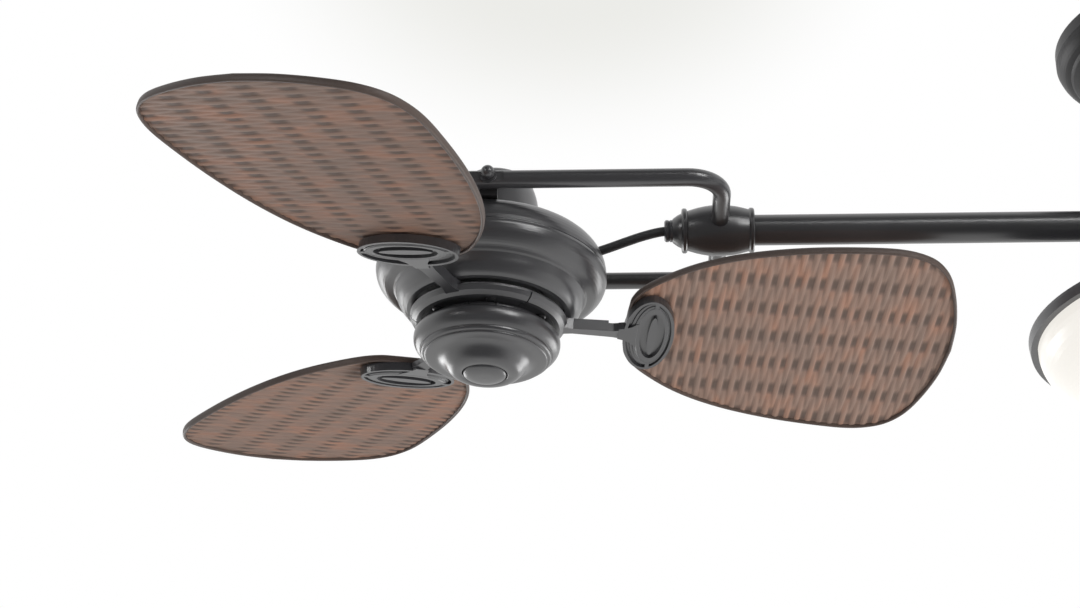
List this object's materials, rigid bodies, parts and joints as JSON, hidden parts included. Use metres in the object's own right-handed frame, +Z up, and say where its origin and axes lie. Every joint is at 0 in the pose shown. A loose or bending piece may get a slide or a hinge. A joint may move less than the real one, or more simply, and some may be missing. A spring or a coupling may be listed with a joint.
{
  "type": "twin head ceiling fan",
  "caption": "Ceiling fan with two tilting fan heads in forks at the ends of a straight arm, leaf-shaped woven blades and a bowl light under the middle.",
  "frame": {"origin": "centre of the ceiling bracket's top face, on the ceiling plane", "axes": "+X along the arm towards the right head, +Z up into the ceiling, +Y away from the picture's viewer"},
  "size_m": [1.7186, 0.716, 0.3567],
  "materials": {
    "graphite": "satin graphite paint",
    "graphite_dark": "dark graphite paint",
    "plain_steel": "zinc plated",
    "dark_steel": "blackened steel",
    "copper_wire": "enamelled copper wire",
    "core_steel": "laminated steel",
    "woven_cane": "woven cane on a frame",
    "opal_glass": "opal",
    "bulb_glass": "frosted, lit",
    "pale_plastic": "matt",
    "cord_rubber": "matt"
  },
  "bodies": {
    "fan_frame": {"ceiling_bracket": "plain_steel", "canopy": "graphite", "canopy_screws": "dark_steel", "hanger_ball": "dark_steel", "hanger_pin": "plain_steel", "receiver": "pale_plastic", "downrod": "graphite", "middle_hub": "graphite", "hub_set_screws": "dark_steel", "arms": "graphite", "fork_hubs": "graphite", "gland_nuts": "graphite_dark", "fork_tines": "graphite", "light_rod": "plain_steel", "light_housing": "graphite", "light_pan": "graphite_dark", "lamp_holders": "pale_plastic", "bulbs": "bulb_glass", "glass_bowl": "opal_glass", "left_lead": "cord_rubber", "right_lead": "cord_rubber"},
    "bowl_finial": {"finial": "graphite"},
    "left_head": {"left_tilt_strap": "dark_steel", "left_wiring_cap": "graphite", "left_upper_shell": "graphite", "left_motor_housing": "graphite", "left_motor_shaft": "plain_steel", "left_stator_core": "core_steel", "left_windings": "copper_wire", "left_switch_plate": "graphite_dark", "left_switch_cup": "graphite", "left_cup_screws": "dark_steel", "left_cup_plug": "graphite"},
    "left_rotor": {"left_rotor": "core_steel", "left_bearings": "plain_steel", "left_blade_irons": "graphite", "left_blades": "woven_cane", "left_iron_screws": "dark_steel", "left_blade_screws": "dark_steel"},
    "left_front_screw": {"left_front_knob": "graphite"},
    "left_rear_screw": {"left_rear_knob": "graphite"},
    "right_head": {"right_tilt_strap": "dark_steel", "right_wiring_cap": "graphite", "right_upper_shell": "graphite", "right_motor_housing": "graphite", "right_motor_shaft": "plain_steel", "right_stator_core": "core_steel", "right_windings": "copper_wire", "right_switch_plate": "graphite_dark", "right_switch_cup": "graphite", "right_cup_screws": "dark_steel", "right_cup_plug": "graphite"},
    "right_rotor": {"right_rotor": "core_steel", "right_bearings": "plain_steel", "right_blade_irons": "graphite", "right_blades": "woven_cane", "right_iron_screws": "dark_steel", "right_blade_screws": "dark_steel"},
    "right_front_screw": {"right_front_knob": "graphite"},
    "right_rear_screw": {"right_rear_knob": "graphite"}
  },
  "joints": [
    {"name": "left_head_tilt", "type": "hinge", "parent": "fan_frame", "child": "left_head", "pos_m": [-0.573, 0, -0.1756], "axis": [0, 1, 0], "range_deg": [-7.5, 22.5], "deforming": ["left_lead"]},
    {"name": "left_blade_spin", "type": "hinge", "parent": "left_head", "child": "left_rotor", "pos_m": [-0.573, 0, -0.1756], "axis": [0.0436, 0, 0.999], "continuous": true},
    {"name": "left_front_knob_turn", "type": "hinge", "parent": "left_head", "child": "left_front_screw", "pos_m": [-0.573, -0.0978, -0.1756], "axis": [0, -1, 0], "range_deg": [0, 360]},
    {"name": "left_rear_knob_turn", "type": "hinge", "parent": "left_head", "child": "left_rear_screw", "pos_m": [-0.573, 0.0978, -0.1756], "axis": [0, 1, 0], "range_deg": [0, 360]},
    {"name": "right_head_tilt", "type": "hinge", "parent": "fan_frame", "child": "right_head", "pos_m": [0.573, 0, -0.1756], "axis": [0, -1, 0], "range_deg": [-7.5, 22.5], "deforming": ["right_lead"]},
    {"name": "right_blade_spin", "type": "hinge", "parent": "right_head", "child": "right_rotor", "pos_m": [0.573, 0, -0.1756], "axis": [-0.0436, 0, 0.999], "continuous": true},
    {"name": "right_front_knob_turn", "type": "hinge", "parent": "right_head", "child": "right_front_screw", "pos_m": [0.573, -0.0978, -0.1756], "axis": [0, -1, 0], "range_deg": [0, 360]},
    {"name": "right_rear_knob_turn", "type": "hinge", "parent": "right_head", "child": "right_rear_screw", "pos_m": [0.573, 0.0978, -0.1756], "axis": [0, 1, 0], "range_deg": [0, 360]},
    {"name": "finial_turn", "type": "hinge", "parent": "fan_frame", "child": "bowl_finial", "pos_m": [0, 0, -0.35], "axis": [0, 0, -1], "range_deg": [0, 720]}
  ]
}
